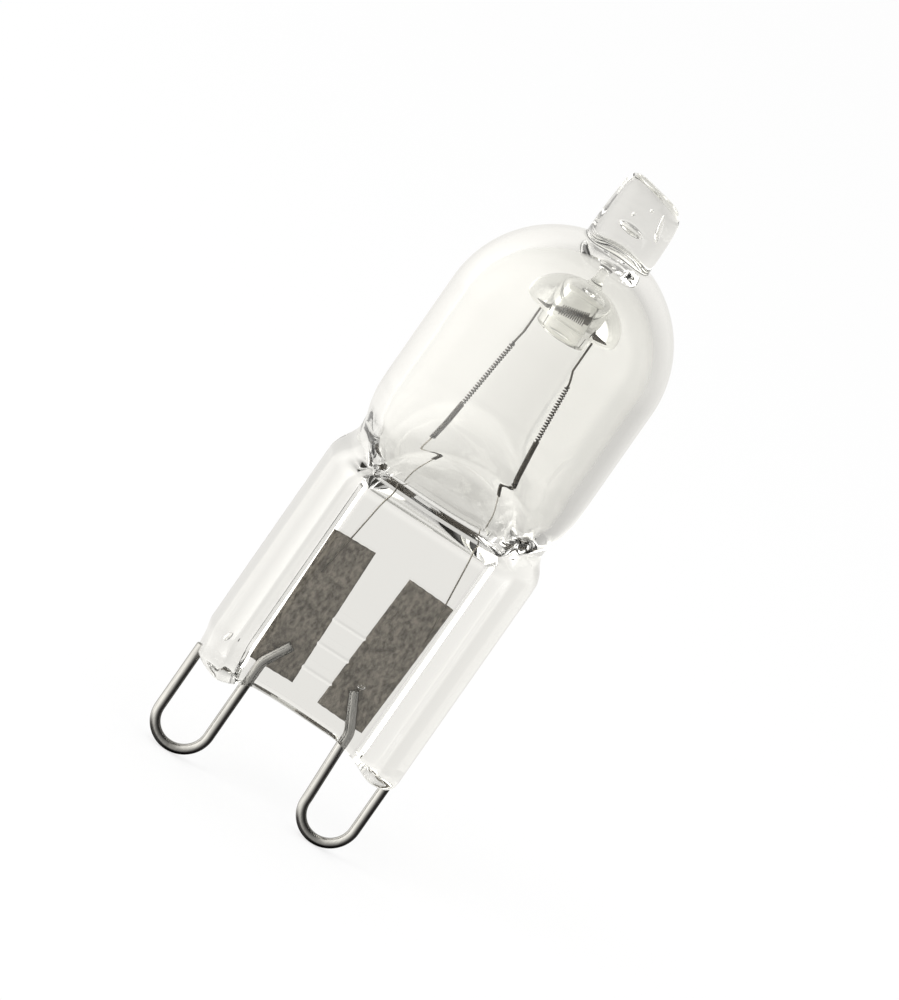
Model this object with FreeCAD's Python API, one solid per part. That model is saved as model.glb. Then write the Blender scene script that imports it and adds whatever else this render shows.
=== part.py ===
"""Halogen capsule bulb with two wire loop contacts.

The bulb stands in its own frame: +Z runs up its axis from the loops to the
exhaust tip, X runs across the two loops and Y through the flat pinch seal.
The origin is midway between the loops, level with their lowest point.
All sizes are in millimetres.
"""
import FreeCAD, Part
import math
import os

from FreeCAD import Vector

# Whole bulb, from the loops up: each height is a step above the one before
loop_reach = 5.65
seal_height = 13.25
neck_height = 4.3
collar_height = 1.0
wall_height = 6.1
tip_height = 4.1

# Dome and wall
dome_radius = 6.5
wall = 1.0
crown_thickness = 2.9
crown_fillet = 1.25

# Neck, where the round wall is drawn in and pressed flat
waist_rise = 1.65
waist_inset = 0.6
waist_bow = 0.35
ramp_bow = 0.75
floor_rise = 0.95
floor_inset = 1.1
floor_half_depth = 0.3
cavity_ramp_bow = 0.55
cavity_side_drop = 0.6
seal_overlap = 0.3

# Pinch seal: web and side rails
seal_width = 13.3
rail_depth = 4.2
rail_corner_radius = 1.3
rail_width = 1.95
rail_slope = 0.6
web_thickness = 1.6
web_top_drop = 1.3
web_top_slope = 1.4
left_rail_drop = 0.6
right_rail_drop = 0.9
bottom_flat_half_width = 3.0
left_corner_inset = 0.5
left_corner_rise = 2.2
right_corner_radius = 0.8
left_corner_radius = 0.45

# Three plain ribs pressed on the front of the web, between the foils
rib_count = 3
rib_length = 1.95
rib_width = 0.2
rib_height = 0.06
rib_pitch = 1.55
rib_first_rise = 2.55
rib_centre_x = -0.3

# Exhaust tip, pinched to a flat tab, and the void left in it
tip_width = 3.95
tip_depth = 3.4
tip_top_width = 3.4
tip_top_depth = 1.9
tip_slope = 0.65
tip_sink = 1.2
tip_edge_radius = 0.45
tip_rim = 0.25
tip_void_width = 1.5
tip_void_height = 0.62
tip_void_depth = 0.9
tip_void_rise = 1.15
tip_void_x = -0.1

# Stub of the exhaust tube inside the dome
stub_radius = 1.6
stub_bore_radius = 1.08
stub_length = 1.45
stub_bore_sink = 0.5
stub_rim = 0.24
coil_gap = 0.05

# Filament: its coils hang below the stub, and its tails end above the floor of the hollow
strand_diameter = 0.1
thin_diameter = 0.15
coil_outer_diameter = 0.3
coil_pitch = 0.26
coil_runs = 6
coil_overlap = 0.15
tail_diameter = 0.32
saddle_rise = 0.74
saddle_coil_length = 2.0
saddle_bend = 0.2
shoulder_lift = 0.8
leg_gap = 0.04
lead_grip = 0.8
left_coil_top_x = -1.92
left_coil_top_drop = 2.1
left_coil_bottom_x = -2.2
left_coil_bottom_rise = 5.15
left_tail_end_x = -2.51
left_tail_end_rise = 1.55
right_coil_top_x = 1.97
right_coil_top_drop = 2.3
right_coil_bottom_x = 2.3
right_coil_bottom_rise = 5.6
right_tail_end_x = 2.77
right_tail_end_rise = 1.55

# Foils: heights above the bottom of the web, and insets from the pins' inner legs to the axis
foil_width = 2.95
foil_length = 8.5
foil_thickness = 0.05
foil_tilt = 2.0
left_foil_inset = 0.425
left_foil_rise = 5.5
right_foil_inset = 0.935
right_foil_rise = 5.3

# Thin leads, welded to the fronts of the foils above their middles
lead_diameter = 0.1
lead_bend = 1.2
thin_wire_sides = 8
left_lead_floor_x = -2.56
left_lead_floor_drop = 0.6
left_lead_weld_out = 0.52
left_lead_weld_rise = 1.82
right_lead_floor_x = 2.86
right_lead_floor_drop = 0.8
right_lead_weld_out = 1.36
right_lead_weld_rise = 1.75

# Contact pins: one thick wire each, bent into a loop and welded below the middle of its foil
pin_diameter = 0.6
pin_inset = 0.025
pin_leg_pitch = 3.15
pin_end_chamfer = 0.1
pin_bend = 1.2
left_pin_end_rise = 0.35
right_pin_end_rise = -0.7
left_pin_weld_in = 0.44
left_pin_weld_drop = 2.45
left_pin_knee_rise = 1.4
right_pin_weld_in = 0.39
right_pin_weld_drop = 2.45
right_pin_knee_in = 0.195
right_pin_knee_rise = 0.7
right_pin_lean_rise = 0.2

# Values that follow from the ones above
web_bottom_z = loop_reach
shoulder_z = web_bottom_z + seal_height
waist_z = shoulder_z + waist_rise
cavity_floor_z = shoulder_z + floor_rise
neck_top_z = shoulder_z + neck_height
side_top_z = neck_top_z + collar_height
dome_centre_z = side_top_z + wall_height
dome_top_z = dome_centre_z + dome_radius
tip_top_z = dome_top_z + tip_height
half_width = seal_width / 2
waist_half_width = dome_radius - waist_inset
rail_half_depth = rail_depth / 2
web_half = web_thickness / 2
inner_radius = dome_radius - wall
floor_half_width = inner_radius - floor_inset
cavity_side_z = neck_top_z - cavity_side_drop
groove_z = dome_top_z - crown_thickness
stub_root_z = groove_z - crown_fillet
stub_end_z = stub_root_z - stub_length
saddle_z = stub_end_z + saddle_rise
rail_inner_x = half_width - rail_width
pin_radius = pin_diameter / 2
lead_radius = lead_diameter / 2
pin_pitch = seal_width - 2 * pin_inset - pin_diameter - pin_leg_pitch
foil_y = pin_radius + foil_thickness / 2
loop_radius = pin_leg_pitch / 2
inner_leg_x = pin_pitch / 2 - loop_radius
left_foil_x = left_foil_inset - inner_leg_x
right_foil_x = inner_leg_x - right_foil_inset
left_foil_z = web_bottom_z + left_foil_rise
right_foil_z = web_bottom_z + right_foil_rise
lead_y = foil_y - foil_thickness / 2 - lead_radius
above_all = tip_top_z + dome_radius
below_all = -1.0
slight_turn = math.radians(12)
chord_turn = math.radians(32)


def point(x, z, y=0.0):
    return Vector(x, y, z)


def line(a, b):
    return Part.makeLine(a, b)


def arc(a, through, b):
    return Part.Arc(a, through, b).toShape()


def centred_box(width, depth, height, x, y, z):
    """A box with its middle at (x, y, z)."""
    corner = Vector(x - width / 2, y - depth / 2, z - height / 2)
    return Part.makeBox(width, depth, height, corner)


def prism(outline, direction):
    """A flat closed outline pushed along a direction."""
    return Part.Face(Part.Wire(outline)).extrude(direction)


def bow(a, b, height):
    """An arc from a to b that swells to its left by the height."""
    along = b - a
    left = Vector(-along.z, 0, along.x).normalize()
    return arc(a, (a + b) / 2 + left * height, b)


def straight_rod(a, b, radius):
    return Part.makeCylinder(radius, (b - a).Length, a, b - a)


def turned_rod(start, centre, axis, angle, radius, along):
    """A rod's section at start, swung about the bend's own centre."""
    section = Part.Face(Part.Wire(Part.makeCircle(radius, start, along)))
    return section.revolve(centre, axis, angle)


def softened(places, bend):
    """The places, with each corner that turns far made into chords round its bend."""
    path = [places[0]]
    for before, corner, after in zip(places, places[1:], places[2:]):
        inward = (corner - before).normalize()
        outward = (after - corner).normalize()
        turn = inward.getAngle(outward)
        if turn < slight_turn:
            path.append(corner)
            continue
        first = corner - inward * bend * math.tan(turn / 2)
        axis = inward.cross(outward).normalize()
        centre = first + axis.cross(inward) * bend
        chords = math.ceil(turn / chord_turn)
        for step in range(chords + 1):
            swing = FreeCAD.Rotation(axis, math.degrees(turn) * step / chords)
            path.append(centre + swing.multVec(first - centre))
    path.append(places[-1])
    return path


def mitred(path, section):
    """A section, drawn round the origin, swept along straight runs with mitred corners."""
    section.Placement = FreeCAD.Placement(path[0], FreeCAD.Rotation(Vector(0, 0, 1), path[1] - path[0]))
    return Part.makePolygon(path).makePipeShell([section], True, True, 1)


def ring(radius, sides):
    """A closed outline of equal sides round the origin."""
    corners = []
    for side in range(sides + 1):
        angle = 2 * math.pi * side / sides
        corners.append(Vector(radius * math.cos(angle), radius * math.sin(angle), 0))
    return Part.makePolygon(corners)


def thin_wire(places, bend, radius):
    return mitred(softened(places, bend), ring(radius, thin_wire_sides))


def thick_wire(places, bend, radius):
    circle = Part.makeCircle(radius, Vector(0, 0, 0), Vector(0, 0, 1))
    return mitred(softened(places, bend), Part.Wire(circle))


def outer_neck():
    """The round wall, narrowed at the waist and ramped down to the seal."""
    top = side_top_z
    foot = shoulder_z
    tube = Part.makeCylinder(dome_radius, top - foot, Vector(0, 0, foot))
    back = Vector(0, 2 * dome_radius, 0)
    shift = Vector(0, dome_radius, 0)
    right = [
        point(dome_radius, top),
        point(dome_radius, neck_top_z),
        point(waist_half_width, waist_z),
        point(half_width, foot),
    ]
    left = [Vector(-place.x, 0, place.z) for place in right]
    front = [
        line(left[0], right[0]),
        line(right[0], right[1]),
        bow(right[2], right[1], -waist_bow),
        line(right[2], right[3]),
        line(right[3], left[3]),
        line(left[3], left[2]),
        bow(left[2], left[1], waist_bow),
        line(left[1], left[0]),
    ]
    front = [edge.translated(shift * -1) for edge in front]
    narrowed = tube.common(prism(front, back))
    return narrowed.common(ramp(dome_radius, top, rail_half_depth, foot, ramp_bow))


def ramp(top_half, top_z, foot_half, foot_z, swell):
    """A block whose front and back run in from a wide top to a narrow foot, on soft arcs."""
    middle_half = (top_half + foot_half) / 2
    middle_z = (top_z + foot_z) / 2
    right = [Vector(0, top_half, top_z), Vector(0, middle_half, middle_z), Vector(0, foot_half, foot_z)]
    left = [Vector(0, -place.y, place.z) for place in right]
    lean = Vector(0, top_z - foot_z, foot_half - top_half).normalize() * swell
    lean_left = Vector(0, -lean.y, lean.z)
    outline = [
        line(left[0], right[0]),
        arc(right[0], (right[0] + right[1]) / 2 + lean / 3, right[1]),
        arc(right[1], (right[1] + right[2]) / 2 - lean / 3, right[2]),
        line(right[2], left[2]),
        arc(left[2], (left[2] + left[1]) / 2 - lean_left / 3, left[1]),
        arc(left[1], (left[1] + left[0]) / 2 + lean_left / 3, left[0]),
    ]
    shift = Vector(-2 * dome_radius, 0, 0)
    outline = [edge.translated(shift) for edge in outline]
    return prism(outline, Vector(4 * dome_radius, 0, 0))


def outer_dome():
    """Straight wall and round crown."""
    foot_z = side_top_z
    top_z = dome_centre_z + dome_radius
    slant = dome_radius * math.sqrt(0.5)
    outline = Part.Wire([
        line(point(0, foot_z), point(dome_radius, foot_z)),
        line(point(dome_radius, foot_z), point(dome_radius, dome_centre_z)),
        arc(point(dome_radius, dome_centre_z), point(slant, dome_centre_z + slant), point(0, top_z)),
        line(point(0, top_z), point(0, foot_z)),
    ])
    return Part.Face(outline).revolve(Vector(0, 0, 0), Vector(0, 0, 1), 360)


def exhaust_tip():
    """A tapered tab: its front outline and its side outline meet in one solid."""
    root_z = dome_top_z - tip_sink
    left_z = tip_top_z
    right_z = tip_top_z - tip_slope
    front = Part.Face(Part.makePolygon([
        point(-tip_width / 2, root_z, -dome_radius),
        point(-tip_top_width / 2, left_z, -dome_radius),
        point(tip_top_width / 2, right_z, -dome_radius),
        point(tip_width / 2, root_z, -dome_radius),
        point(-tip_width / 2, root_z, -dome_radius),
    ])).extrude(Vector(0, 2 * dome_radius, 0))
    side = Part.Face(Part.makePolygon([
        Vector(-dome_radius, -tip_depth / 2, root_z),
        Vector(-dome_radius, -tip_top_depth / 2, above_all),
        Vector(-dome_radius, tip_top_depth / 2, above_all),
        Vector(-dome_radius, tip_depth / 2, root_z),
        Vector(-dome_radius, -tip_depth / 2, root_z),
    ])).extrude(Vector(2 * dome_radius, 0, 0))
    tab = front.common(side)
    upright = [edge for edge in tab.Edges if edge.BoundBox.ZLength > 1.5]
    tab = tab.makeFillet(tip_edge_radius, upright)
    rim = [edge for edge in tab.Edges if edge.BoundBox.ZMin > right_z - 0.2]
    return tab.makeChamfer(tip_rim, rim)


def seal_outline():
    """The front view of the seal, with its uneven lower corners."""
    left_z = web_bottom_z - left_rail_drop
    right_z = web_bottom_z - right_rail_drop
    top_z = shoulder_z + seal_overlap
    top_x = half_width - seal_overlap * (half_width - waist_half_width) / waist_rise
    flat = bottom_flat_half_width
    corner_x = half_width - left_corner_inset
    taper_z = left_z + left_corner_rise
    places = [
        point(-top_x, top_z),
        point(-half_width, shoulder_z),
        point(-half_width, taper_z),
        point(-corner_x, left_z + 0.55),
        point(-corner_x + 0.65, left_z),
        point(-flat, web_bottom_z),
        point(flat, web_bottom_z),
        point(half_width - 1.4, right_z),
        point(half_width, right_z + 0.45),
        point(half_width, shoulder_z),
        point(top_x, top_z),
        point(-top_x, top_z),
    ]
    face = Part.Face(Part.makePolygon([place - Vector(0, rail_depth, 0) for place in places]))
    block = face.extrude(Vector(0, 2 * rail_depth, 0))
    left_edges = []
    right_edges = []
    for edge in block.Edges:
        box = edge.BoundBox
        if box.YLength < rail_depth or box.ZMax > taper_z - 0.1:
            continue
        if box.XMax < -flat - 0.5:
            left_edges.append(edge)
        elif box.XMin > flat + 0.5:
            right_edges.append(edge)
    block = block.makeFillet(left_corner_radius, left_edges)
    for edge in block.Edges:
        box = edge.BoundBox
        tall = box.YLength > rail_depth and box.XMin > flat + 0.5 and box.ZMax < taper_z - 0.1
        if tall:
            right_edges.append(edge)
    return block.makeFillet(right_corner_radius, right_edges)


def seal_blank():
    """The rounded block that the jaws press the web into."""
    height = shoulder_z + seal_overlap
    blank = centred_box(seal_width, rail_depth, height, 0, 0, height / 2)
    edges = [edge for edge in blank.Edges if edge.BoundBox.ZLength > height / 2]
    return blank.makeFillet(rail_corner_radius, edges)


def press_mark():
    """What the front jaw presses away: the web's face, with sloping sides to the rails."""
    reach = dome_radius
    share = (reach - web_half) / (rail_half_depth - web_half)
    side_spread = rail_slope * share
    top_spread = web_top_slope * share
    half_x = rail_inner_x - rail_slope
    top_z = shoulder_z - web_top_drop
    return Part.makeWedge(
        -half_x - side_spread, -reach, below_all, below_all, -half_x,
        half_x + side_spread, -web_half, top_z + top_spread, top_z, half_x)


def pinch_seal():
    seal = seal_blank().common(seal_outline())
    return seal


def web_ribs():
    ribs = []
    for row in range(rib_count):
        z = web_bottom_z + rib_first_rise + row * rib_pitch
        rib = centred_box(rib_length, 2 * rib_height, rib_width, rib_centre_x, -web_half, z)
        ribs.append(rib)
    return ribs


def cavity_neck():
    """The lower end of the hollow, closing to a slot over the web."""
    tube = Part.makeCylinder(inner_radius, side_top_z - cavity_floor_z, Vector(0, 0, cavity_floor_z))
    front = Part.makePolygon([
        point(-inner_radius, side_top_z, -dome_radius),
        point(inner_radius, side_top_z, -dome_radius),
        point(inner_radius, cavity_side_z, -dome_radius),
        point(floor_half_width, cavity_floor_z, -dome_radius),
        point(-floor_half_width, cavity_floor_z, -dome_radius),
        point(-inner_radius, cavity_side_z, -dome_radius),
        point(-inner_radius, side_top_z, -dome_radius),
    ])
    narrowed = tube.common(Part.Face(front).extrude(Vector(0, 2 * dome_radius, 0)))
    wedge = ramp(inner_radius, side_top_z, floor_half_depth, cavity_floor_z, cavity_ramp_bow)
    return narrowed.common(wedge)


def cavity_dome():
    """The round of the hollow, which dips to the stub in the middle."""
    groove_r = stub_radius + crown_fillet
    crown_radius = inner_radius - groove_r
    crown_foot_z = groove_z - crown_radius
    outline = [point(0, side_top_z), point(inner_radius, side_top_z)]
    for degrees in (0, 45, 90):
        angle = math.radians(degrees)
        outline.append(point(groove_r + crown_radius * math.cos(angle),
                             crown_foot_z + crown_radius * math.sin(angle)))
    outline += [point(stub_radius, stub_root_z), point(0, stub_root_z), point(0, side_top_z)]
    return Part.Face(Part.makePolygon(outline)).revolve(Vector(0, 0, 0), Vector(0, 0, 1), 360)


def stub():
    """The open end of the exhaust tube, with a softened rim."""
    tube = Part.makeCylinder(stub_radius, stub_length, Vector(0, 0, stub_end_z))
    rim = [edge for edge in tube.Edges if edge.BoundBox.ZMax < stub_end_z + 0.01]
    tube = tube.makeChamfer(stub_rim, rim)
    bore = Part.makeCylinder(stub_bore_radius, stub_length, Vector(0, 0, stub_end_z))
    return tube.cut(bore)


def stub_bore_end():
    """The closed end of the bore, sunk in the crown."""
    bore = Part.makeCylinder(stub_bore_radius, stub_bore_sink, Vector(0, 0, stub_root_z))
    top = [edge for edge in bore.Edges if edge.BoundBox.ZMin > stub_root_z + stub_bore_sink - 0.01]
    return bore.makeChamfer(stub_bore_sink / 2, top)


def tip_void():
    """The flattened end of the exhaust bore, shut in the tip."""
    z = dome_top_z + tip_void_rise
    left = point(tip_void_x - tip_void_width / 2, z, -tip_void_depth / 2)
    right = point(tip_void_x + tip_void_width / 2, z, -tip_void_depth / 2)
    rise = tip_void_height / 2
    outline = [bow(left, right, rise), bow(right, left, rise)]
    return prism(outline, Vector(0, tip_void_depth, 0))


def filament_channel():
    """The hole that the filament melted through both walls of the stub."""
    radius = thin_diameter / 2 + coil_gap
    reach = stub_radius + saddle_bend
    return Part.makeCylinder(radius, 2 * reach, point(-reach, saddle_z), Vector(1, 0, 0))


def foil(x, z, tilt):
    """A thin plate, turned a little about the middle of its face."""
    plate = centred_box(foil_width, foil_thickness, foil_length, x, foil_y, z)
    plate.rotate(Vector(x, foil_y, z), Vector(0, 1, 0), tilt)
    return plate


def foil_left():
    return foil(left_foil_x, left_foil_z, -foil_tilt)


def foil_right():
    return foil(right_foil_x, right_foil_z, foil_tilt)


def left_leg():
    """Where the left leg of the filament starts, changes and ends, from its top down."""
    return [
        point(left_coil_top_x, stub_end_z - left_coil_top_drop),
        point(left_coil_bottom_x, cavity_floor_z + left_coil_bottom_rise),
        point(left_tail_end_x, cavity_floor_z + left_tail_end_rise),
    ]


def right_leg():
    return [
        point(right_coil_top_x, stub_end_z - right_coil_top_drop),
        point(right_coil_bottom_x, cavity_floor_z + right_coil_bottom_rise),
        point(right_tail_end_x, cavity_floor_z + right_tail_end_rise),
    ]


def lead_from(leg, places):
    """A lead that starts inside the tail of a leg and follows the places."""
    tail_top, end = leg[1:]
    along = (tail_top - end).normalize()
    return thin_wire([end + along * lead_grip, end - along * lead_grip] + places, lead_bend, lead_radius)


def inner_lead_left():
    """From the tail of the filament, through the web, to the front of the foil."""
    return lead_from(left_leg(), [
        Vector(left_lead_floor_x, lead_y, cavity_floor_z - left_lead_floor_drop),
        Vector(left_foil_x - left_lead_weld_out, lead_y, left_foil_z + left_lead_weld_rise),
    ])


def inner_lead_right():
    return lead_from(right_leg(), [
        Vector(right_lead_floor_x, lead_y, cavity_floor_z - right_lead_floor_drop),
        Vector(right_foil_x + right_lead_weld_out, lead_y, right_foil_z + right_lead_weld_rise),
    ])


def pin_loop(centre, outer_side, end_z):
    """Cut end and outer leg, and the round of the loop below."""
    outer_x = centre + outer_side * loop_radius
    bend_z = pin_radius + loop_radius
    leg = straight_rod(point(outer_x, bend_z), point(outer_x, end_z), pin_radius)
    rim = [edge for edge in leg.Edges if edge.BoundBox.ZMin > end_z - 0.01]
    leg = leg.makeChamfer(pin_end_chamfer, rim)
    start = point(outer_x, bend_z)
    swing = Vector(0, outer_side, 0)
    round_end = turned_rod(start, point(centre, bend_z), swing, 180, pin_radius, Vector(0, 0, -1))
    return [leg, round_end]


def contact_pin_left():
    """Cut end outside, loop below, and the inner leg welded to the foil."""
    bend_z = pin_radius + loop_radius
    leg = thick_wire([
        point(-inner_leg_x, bend_z),
        point(-inner_leg_x, web_bottom_z + left_pin_knee_rise),
        point(left_foil_x + left_pin_weld_in, left_foil_z - left_pin_weld_drop),
    ], pin_bend, pin_radius)
    return leg.fuse(pin_loop(-pin_pitch / 2, -1, web_bottom_z + left_pin_end_rise)).removeSplitter()


def contact_pin_right():
    bend_z = pin_radius + loop_radius
    leg = thick_wire([
        point(inner_leg_x, bend_z),
        point(inner_leg_x, bend_z + right_pin_lean_rise),
        point(inner_leg_x - right_pin_knee_in, web_bottom_z + right_pin_knee_rise),
        point(right_foil_x - right_pin_weld_in, right_foil_z - right_pin_weld_drop),
    ], pin_bend, pin_radius)
    return leg.fuse(pin_loop(pin_pitch / 2, 1, web_bottom_z + right_pin_end_rise)).removeSplitter()


def coil(a, b):
    """A square-sided strand wound from a to b, in short straight runs."""
    radius = (coil_outer_diameter - strand_diameter) / 2
    path = []
    for step in range(round((b - a).Length / coil_pitch * coil_runs) + 1):
        angle = 2 * math.pi * step / coil_runs
        path.append(Vector(radius * math.cos(angle), radius * math.sin(angle), step * coil_pitch / coil_runs))
    spring = mitred(path, ring(strand_diameter / 2, 4))
    spring.Placement = FreeCAD.Placement(a, FreeCAD.Rotation(Vector(0, 0, 1), b - a))
    return spring


def beyond(a, b):
    """A place a little past b, on the line from a."""
    return b + (b - a).normalize() * coil_overlap


def tail(end, top):
    """A close-wound tail, run a little into the coil."""
    return thin_wire([end, beyond(end, top)], 0, tail_diameter / 2)


def shoulder(coil_low, coil_top, saddle_end):
    """The thin stretch that climbs from a leg's coil, up the stub's side, into the saddle coil."""
    side = math.copysign(stub_radius + thin_diameter / 2 + leg_gap, coil_top.x)
    up = (coil_top - coil_low).normalize() * coil_overlap
    return thin_wire([
        coil_top - up,
        coil_top + up,
        point(side, coil_top.z + shoulder_lift),
        point(side, saddle_z),
        beyond(point(side, saddle_z), saddle_end),
    ], saddle_bend, thin_diameter / 2)


def filament(leads):
    """Coil legs, thin shoulders, the saddle coil in the stub and the tails that grip the leads."""
    left_top, left_low, left_end = left_leg()
    right_top, right_low, right_end = right_leg()
    left_saddle = point(-saddle_coil_length / 2, saddle_z)
    right_saddle = point(saddle_coil_length / 2, saddle_z)
    wire = coil(left_low, left_top).fuse([
        coil(right_low, right_top),
        coil(left_saddle, right_saddle),
        shoulder(left_low, left_top, left_saddle),
        shoulder(right_low, right_top, right_saddle),
        tail(left_end, left_low),
        tail(right_end, right_low),
    ])
    return wire.cut(leads)


def envelope(metal):
    """The quartz bulb, hollow, with the sealed-in metal cut out of it."""
    front_mark = press_mark()
    back_mark = front_mark.mirror(Vector(0, 0, 0), Vector(0, 1, 0))
    body = outer_dome().fuse([outer_neck(), exhaust_tip(), pinch_seal()])
    body = body.cut([front_mark, back_mark])
    body = body.fuse(web_ribs())
    body = body.cut([cavity_dome(), cavity_neck(), stub_bore_end()])
    body = body.fuse(stub())
    return body.cut([filament_channel(), tip_void()] + metal)


def main():
    os.makedirs("parts", exist_ok=True)
    sealed = {
        "foil_left": foil_left(),
        "foil_right": foil_right(),
        "inner_lead_left": inner_lead_left(),
        "inner_lead_right": inner_lead_right(),
        "contact_pin_left": contact_pin_left(),
        "contact_pin_right": contact_pin_right(),
    }
    pieces = dict(sealed)
    pieces["filament"] = filament([sealed["inner_lead_left"], sealed["inner_lead_right"]])
    pieces["envelope"] = envelope(list(sealed.values()))
    for name, shape in pieces.items():
        box = shape.BoundBox
        print(name, "solids", len(shape.Solids), "volume", round(shape.Volume, 4),
              "valid", shape.isValid(), "z", round(box.ZMin, 3), round(box.ZMax, 3))
        shape.exportStep("parts/" + name + ".step")


main()
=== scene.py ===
"""Looks of a halogen capsule bulb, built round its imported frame.

The bulb stands upright on +Z, X runs across its two loops and Y through its flat seal.
Shapes are worked out in millimetres and brought to metres as each piece is finished.
"""

import math

import bmesh
import bpy
from bpy.props import FloatProperty, PointerProperty, StringProperty
from bpy.types import Operator, Panel, PropertyGroup
from mathutils import Matrix, Quaternion, Vector


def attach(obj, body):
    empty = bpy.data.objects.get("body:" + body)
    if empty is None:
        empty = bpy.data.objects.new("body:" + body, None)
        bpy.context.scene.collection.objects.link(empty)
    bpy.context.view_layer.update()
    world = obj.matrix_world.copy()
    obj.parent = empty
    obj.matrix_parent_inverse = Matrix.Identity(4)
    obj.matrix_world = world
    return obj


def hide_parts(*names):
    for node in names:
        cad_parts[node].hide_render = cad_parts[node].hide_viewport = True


bl_info = {
    "name": "Halogen Capsule Bulb",
    "version": (1, 0, 0),
    "blender": (4, 5, 0),
    "location": "3D View > Sidebar > Capsule Bulb",
    "description": "Builds the looks of a halogen capsule bulb round its packed frame",
    "category": "Add Mesh",
}

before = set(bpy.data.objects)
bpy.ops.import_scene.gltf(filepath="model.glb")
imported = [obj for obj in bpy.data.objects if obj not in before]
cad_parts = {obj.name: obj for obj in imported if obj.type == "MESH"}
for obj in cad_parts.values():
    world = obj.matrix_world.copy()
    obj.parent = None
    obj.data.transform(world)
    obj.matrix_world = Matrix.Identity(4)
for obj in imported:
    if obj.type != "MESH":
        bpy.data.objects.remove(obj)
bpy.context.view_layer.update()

MM = 0.001
# Degrees from one point of a glass ring to the next
TURN_STEP = 1.8


class GlassSizes(PropertyGroup):
    """Sizes of the quartz bulb."""

    dome_radius: FloatProperty(
        name="Dome radius", description="Outer radius of the round wall",
        default=6.5 * MM, unit="LENGTH")
    wall: FloatProperty(
        name="Wall", description="Thickness of the round wall", default=1.0 * MM, unit="LENGTH")
    web_half_depth: FloatProperty(
        name="Web half depth", description="Half of the thickness of the pressed web",
        default=0.8 * MM, unit="LENGTH")


class WireSizes(PropertyGroup):
    """Sizes of the wires."""

    pin_radius: FloatProperty(
        name="Pin radius", description="Radius of the contact wire", default=0.3 * MM, unit="LENGTH")
    coil_radius: FloatProperty(
        name="Coil radius", description="Outer radius of the filament's coil",
        default=0.15 * MM, unit="LENGTH")
    coil_pitch: FloatProperty(
        name="Coil pitch", description="Distance between two turns of the coil",
        default=0.17 * MM, unit="LENGTH")


class FinishColours(PropertyGroup):
    """Colours as sRGB hex values."""

    nickel: StringProperty(name="Nickel", description="Contact wire", default="888784")
    tungsten: StringProperty(name="Tungsten", description="Filament", default="4A4640")
    foil: StringProperty(name="Foil", description="Molybdenum foils", default="746F67")
    lead: StringProperty(name="Lead", description="Thin molybdenum leads", default="8E8A82")
    floor: StringProperty(name="Floor", description="Floor", default="FFFFFF")


class ViewSettings(PropertyGroup):
    """The photograph's viewing angle."""

    azimuth: FloatProperty(
        name="Azimuth", description="Camera's turn about the bulb", default=math.radians(-9.2),
        subtype="ANGLE")
    elevation: FloatProperty(
        name="Elevation", description="Camera's height above level", default=math.radians(12.0),
        subtype="ANGLE")
    roll: FloatProperty(
        name="Roll", description="Lean of the bulb in the picture, clockwise",
        default=math.radians(34.93), subtype="ANGLE")
    lens: FloatProperty(name="Lens", description="Focal length in millimetres", default=500.0)
    pixels_per_mm: FloatProperty(
        name="Scale", description="Picture points to a millimetre at the bulb's middle", default=18.6)


# Pieces

def through(rows, at):
    """A smooth curve through rows of (place, values...), read at one place."""
    if at <= rows[0][0]:
        return rows[0][1:]
    if at >= rows[-1][0]:
        return rows[-1][1:]
    index = next(i for i in range(len(rows) - 1) if at <= rows[i + 1][0])
    left, right = rows[index], rows[index + 1]
    span = right[0] - left[0]
    t = (at - left[0]) / span
    values = []
    for k in range(1, len(left)):
        slopes = []
        for i in (index, index + 1):
            if i == 0 or i == len(rows) - 1:
                slopes.append((right[k] - left[k]) / span)
                continue
            before = (rows[i][k] - rows[i - 1][k]) / (rows[i][0] - rows[i - 1][0])
            after = (rows[i + 1][k] - rows[i][k]) / (rows[i + 1][0] - rows[i][0])
            both = before * after
            slopes.append(2 * both / (before + after) if both > 0 else 0.0)
        values.append(
            left[k] * (1 + 2 * t) * (1 - t) ** 2 + slopes[0] * span * t * (1 - t) ** 2
            + right[k] * t * t * (3 - 2 * t) - slopes[1] * span * t * t * (1 - t))
    return values


def fade(low, high, value):
    """0 below low, 1 above high and smooth between."""
    t = min(max((value - low) / (high - low), 0.0), 1.0)
    return t * t * (3 - 2 * t)


def ringed_shell(bm, ring_count, place):
    """A closed skin: a circle grown ring by ring, where place(angle, ring) says where a point goes."""
    count = round(360 / TURN_STEP)
    station = bm.verts.layers.int.new("station")
    verts = bmesh.ops.create_circle(bm, cap_ends=False, segments=count, radius=1.0)["verts"]
    for index, vert in enumerate(verts):
        vert[station] = index
        vert.co = place(math.radians(index * TURN_STEP - 90), 0)
    edges = [edge for edge in bm.edges if edge.verts[0] in verts]
    for ring in range(1, ring_count):
        grown = bmesh.ops.extrude_edge_only(bm, edges=edges)["geom"]
        for vert in [item for item in grown if isinstance(item, bmesh.types.BMVert)]:
            vert.co = place(math.radians(vert[station] * TURN_STEP - 90), ring)
        edges = [item for item in grown if isinstance(item, bmesh.types.BMEdge) and item.is_boundary]


def section(angle, half_width, half_depth, squareness):
    """A point of a rounded outline; angle 0 is the front's middle and 90 degrees the right side."""
    across = math.sin(angle)
    depth = half_depth * max(1 - abs(across) ** squareness, 0.0) ** (1 / squareness)
    if abs(math.cos(angle)) < 1e-6:
        depth = 0.0
    return half_width * across, math.copysign(depth, -math.cos(angle))


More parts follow.
